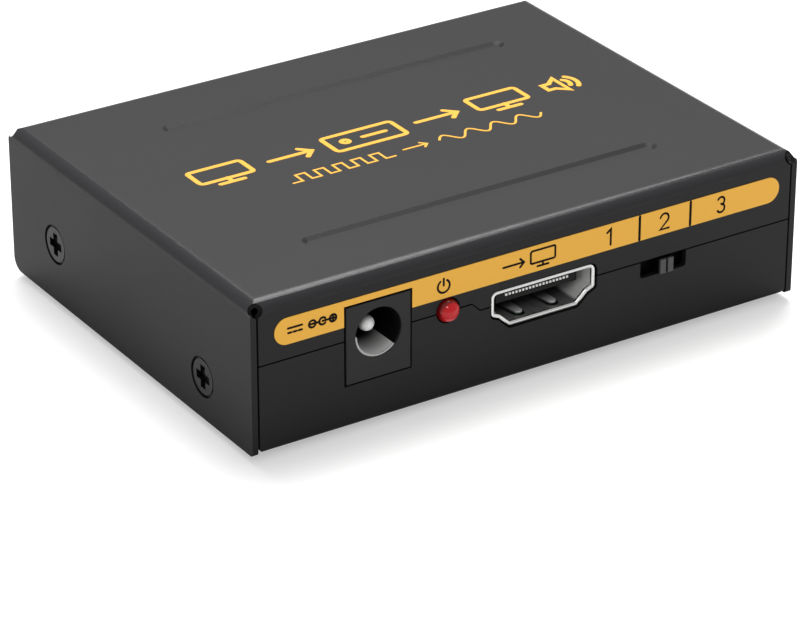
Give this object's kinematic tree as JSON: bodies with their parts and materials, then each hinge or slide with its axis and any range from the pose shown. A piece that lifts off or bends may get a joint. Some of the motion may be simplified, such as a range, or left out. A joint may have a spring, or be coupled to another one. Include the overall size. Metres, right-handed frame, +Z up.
{
  "type": "hdmi audio extractor",
  "caption": "Small folded-steel box with a video input and power jack at the front, and a video output, an optical output and phono outputs at the rear.",
  "frame": {"origin": "middle of the part's box in X and Y, at the feet's undersides", "axes": "+X along the long side to the right as seen from the input side, +Y from the input side to the output side, +Z up"},
  "size_m": [0.08, 0.0658, 0.021],
  "materials": {
    "case_paint": "matt black powder coat with a fine texture",
    "screw_black": "black zinc",
    "plated_steel": "zinc plated",
    "foot_rubber": "matt",
    "band_gold": "satin gold print",
    "board_green": "solder mask over glass fibre",
    "moulded_black": "fine spark-eroded grain",
    "insulator_black": "satin",
    "tinned": "tin plated",
    "socket_shell": "nickel plated",
    "red_lens": "diffusing epoxy",
    "green_lens": "diffusing epoxy",
    "knob_black": "satin",
    "base_brown": "pressed resin",
    "phono_plate": "bright nickel",
    "phono_white": "moulded",
    "phono_red": "moulded",
    "chip_epoxy": "fine grain",
    "can_aluminium": "satin",
    "ferrite": "sintered",
    "ceramic_tan": "satin"
  },
  "bodies": {
    "root": {"top_cover": "case_paint", "bottom_tray": "case_paint", "clinch_nuts": "plated_steel", "side_screws": "screw_black", "rubber_feet": "foot_rubber", "front_band": "band_gold", "rear_band": "band_gold", "main_board": "board_green", "board_standoffs": "plated_steel", "board_screws": "plated_steel", "dc_jack_housing": "moulded_black", "dc_jack_centre_pin": "tinned", "dc_jack_sleeve_contact": "tinned", "dc_jack_side_terminal": "tinned", "power_led_lens": "red_lens", "power_led_leads": "tinned", "status_led_lens": "green_lens", "status_led_leads": "tinned", "video_in_shell": "socket_shell", "video_in_insulator": "insulator_black", "video_in_contacts": "tinned", "video_out_shell": "socket_shell", "video_out_insulator": "insulator_black", "video_out_contacts": "tinned", "switch_frame": "insulator_black", "switch_base": "base_brown", "switch_terminals": "tinned", "optical_housing": "moulded_black", "optical_hinge_pin": "plated_steel", "optical_spring": "plated_steel", "optical_emitter": "chip_epoxy", "optical_terminals": "tinned", "phono_block": "moulded_black", "phono_white_barrel": "phono_plate", "phono_white_insulator": "phono_white", "phono_red_barrel": "phono_plate", "phono_red_insulator": "phono_red", "phono_centre_contacts": "tinned", "phono_ground_tabs": "tinned", "video_chip": "chip_epoxy", "audio_chip": "chip_epoxy", "memory_chip": "chip_epoxy", "regulator_chip": "chip_epoxy", "chip_leads": "tinned", "capacitor_cans": "can_aluminium", "capacitor_bases": "chip_epoxy", "power_inductor": "ferrite", "crystal": "tinned", "ceramic_capacitors": "ceramic_tan", "chip_resistors": "chip_epoxy", "small_part_caps": "tinned", "surge_arrays": "chip_epoxy"},
    "knob": {"switch_knob": "knob_black"},
    "shutter": {"optical_shutter": "moulded_black"}
  },
  "joints": [
    {"name": "knob_slide", "type": "slide", "parent": "root", "child": "knob", "axis": [1, 0, 0], "range_m": [-0.002, 0.002]},
    {"name": "shutter_hinge", "type": "hinge", "parent": "root", "child": "shutter", "pos_m": [0.00455, 0.02687, 0.0164], "axis": [-1, 0, 0], "range_deg": [0, 80], "stiffness_Nm_per_rad": 0.00005, "springref_deg": -11.46}
  ]
}
